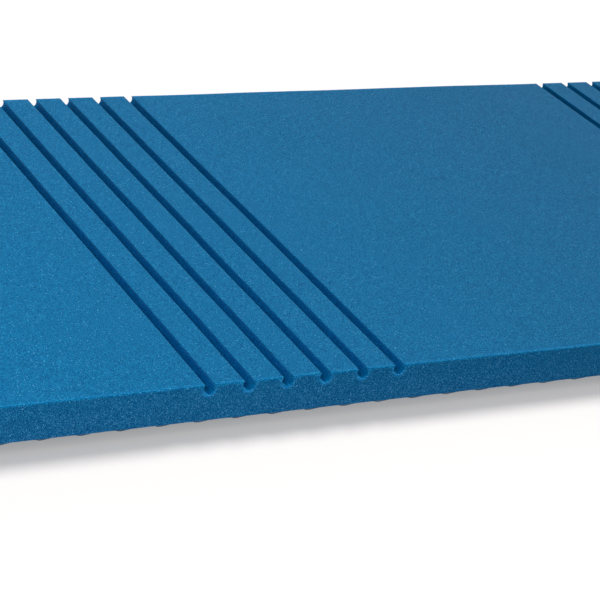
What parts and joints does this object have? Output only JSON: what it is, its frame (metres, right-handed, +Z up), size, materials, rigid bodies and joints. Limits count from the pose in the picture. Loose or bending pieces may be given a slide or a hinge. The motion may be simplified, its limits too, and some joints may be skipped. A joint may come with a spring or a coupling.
{
  "type": "foam mattress",
  "caption": "Thin slab mattress of blue open-cell foam with keyhole grooves across its top and rounded nubs underneath.",
  "frame": {"origin": "middle of the slab on the surface it rests on", "axes": "+X along the length, +Y across the width from the front edge to the back, +Z up through the grooved top"},
  "size_m": [2, 0.8, 0.06],
  "materials": {
    "blue_foam": "open-cell foam, matte"
  },
  "bodies": {
    "root": {"foam_core": "blue_foam"}
  },
  "joints": []
}
